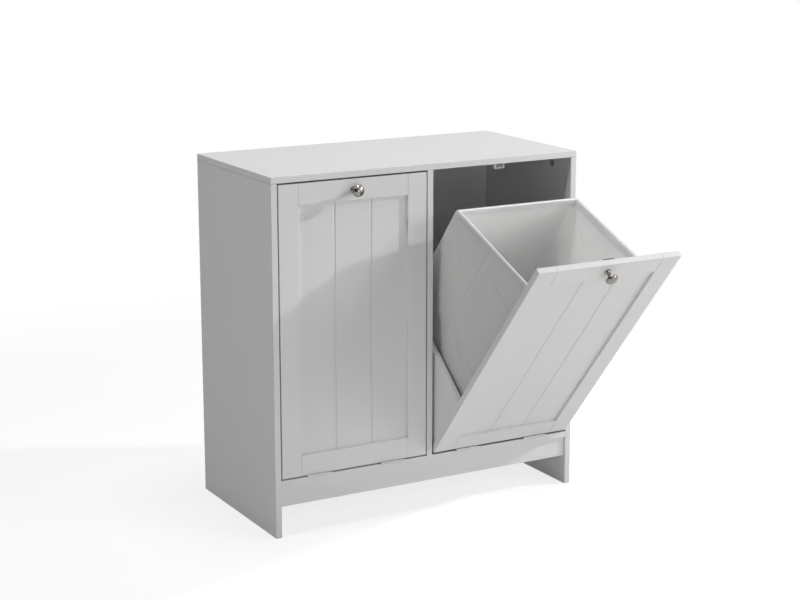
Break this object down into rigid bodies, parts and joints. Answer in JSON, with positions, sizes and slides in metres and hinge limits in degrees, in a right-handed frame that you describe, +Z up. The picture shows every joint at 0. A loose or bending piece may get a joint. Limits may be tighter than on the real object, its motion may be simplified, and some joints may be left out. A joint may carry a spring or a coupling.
{
  "type": "laundry cabinet",
  "caption": "White cabinet on board legs with two tilt-out hampers on bottom hinges, each with a framed door, knob, tray and slanted fabric bag.",
  "frame": {"origin": "on the floor at the middle of the carcass's footprint, 165 mm behind the front plane", "axes": "+X to the right seen from the front, +Y to the back, +Z up"},
  "size_m": [0.66, 0.696, 0.681],
  "materials": {
    "carcass_board": "white melamine-faced board, satin",
    "back_board": "thin white-faced board, matt",
    "door_frame_board": "white wrapped board, satin",
    "door_panel_board": "white wrapped grooved panel, satin",
    "tray_board": "white melamine-faced board, satin",
    "polished_nickel": "polished nickel",
    "hinge_steel": "plated steel, dull",
    "strike_steel": "plated steel, dull",
    "screw_steel": "zinc plated",
    "zinc": "cast zinc, dull",
    "magnet_steel": "dark steel poles and magnet",
    "white_plastic": "moulded, matt",
    "stop_rubber": "soft sleeve, matt",
    "beech": "turned and fluted",
    "bag_cloth": "pale grey woven cloth on a stiff lining"
  },
  "bodies": {
    "carcass": {"top_panel": "carcass_board", "left_side_panel": "carcass_board", "right_side_panel": "carcass_board", "divider_panel": "carcass_board", "bottom_panel": "carcass_board", "kick_board": "carcass_board", "back_panel": "back_board", "cam_locks": "zinc", "cam_bolts": "screw_steel", "dowels": "beech", "divider_screws": "screw_steel", "catch_housings": "white_plastic", "catch_magnets": "magnet_steel", "catch_screws": "screw_steel", "stop_pegs": "screw_steel", "stop_sleeves": "stop_rubber", "hinge_base_leaves": "hinge_steel", "hinge_pins": "hinge_steel", "base_leaf_screws": "screw_steel"},
    "left_hamper": {"left_door_outer_stile": "door_frame_board", "left_door_inner_stile": "door_frame_board", "left_door_top_rail": "door_frame_board", "left_door_bottom_rail": "door_frame_board", "left_door_panel": "door_panel_board", "left_knob": "polished_nickel", "left_knob_screw": "screw_steel", "left_strike_plate": "strike_steel", "left_strike_screws": "screw_steel", "left_door_leaves": "hinge_steel", "left_leaf_screws": "screw_steel", "left_tray_outer_side": "tray_board", "left_tray_inner_side": "tray_board", "left_tray_bottom": "tray_board", "left_tray_back": "tray_board", "left_tray_cam_locks": "zinc", "left_tray_cam_bolts": "screw_steel", "left_tray_screws": "screw_steel", "left_bag": "bag_cloth", "left_rim_wire": "screw_steel"},
    "right_hamper": {"right_door_outer_stile": "door_frame_board", "right_door_inner_stile": "door_frame_board", "right_door_top_rail": "door_frame_board", "right_door_bottom_rail": "door_frame_board", "right_door_panel": "door_panel_board", "right_knob": "polished_nickel", "right_knob_screw": "screw_steel", "right_strike_plate": "strike_steel", "right_strike_screws": "screw_steel", "right_door_leaves": "hinge_steel", "right_leaf_screws": "screw_steel", "right_tray_outer_side": "tray_board", "right_tray_inner_side": "tray_board", "right_tray_bottom": "tray_board", "right_tray_back": "tray_board", "right_tray_cam_locks": "zinc", "right_tray_cam_bolts": "screw_steel", "right_tray_screws": "screw_steel", "right_bag": "bag_cloth", "right_rim_wire": "screw_steel"}
  },
  "joints": [
    {"name": "left_hamper_tilt", "type": "hinge", "parent": "carcass", "child": "left_hamper", "pos_m": [-0.162, -0.167, 0.1125], "axis": [1, 0, 0], "range_deg": [0, 40]},
    {"name": "right_hamper_tilt", "type": "hinge", "parent": "carcass", "child": "right_hamper", "pos_m": [0.162, -0.167, 0.1125], "axis": [1, 0, 0], "range_deg": [-40, 0]}
  ]
}
